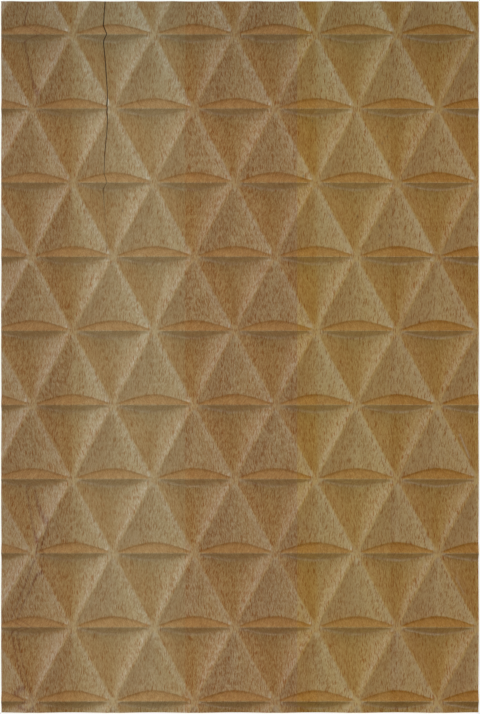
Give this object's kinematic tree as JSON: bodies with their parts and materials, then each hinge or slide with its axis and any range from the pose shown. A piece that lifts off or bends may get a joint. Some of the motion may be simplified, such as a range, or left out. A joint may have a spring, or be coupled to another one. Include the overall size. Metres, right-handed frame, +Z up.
{
  "type": "carved wooden panel",
  "caption": "Upright wooden wall panel, glued up from boards and carved all over with scooped triangles between level and slanting ridges.",
  "frame": {"origin": "middle of the flat back face", "axes": "+Z up along the grain and the long side, +Y out of the back towards the wall, -Y towards the viewer of the carved face, +X to the right seen from the front"},
  "size_m": [0.6, 0.032, 0.894],
  "materials": {
    "left_edge_board_wood": "oiled, brown",
    "pale_board_wood": "oiled, pale",
    "reddish_board_wood": "oiled, reddish brown, flecked",
    "olive_board_wood": "oiled, olive brown",
    "right_edge_board_wood": "oiled, ochre brown"
  },
  "bodies": {
    "root": {"left_edge_board": "left_edge_board_wood", "pale_board": "pale_board_wood", "reddish_board": "reddish_board_wood", "olive_board": "olive_board_wood", "right_edge_board": "right_edge_board_wood"}
  },
  "joints": []
}
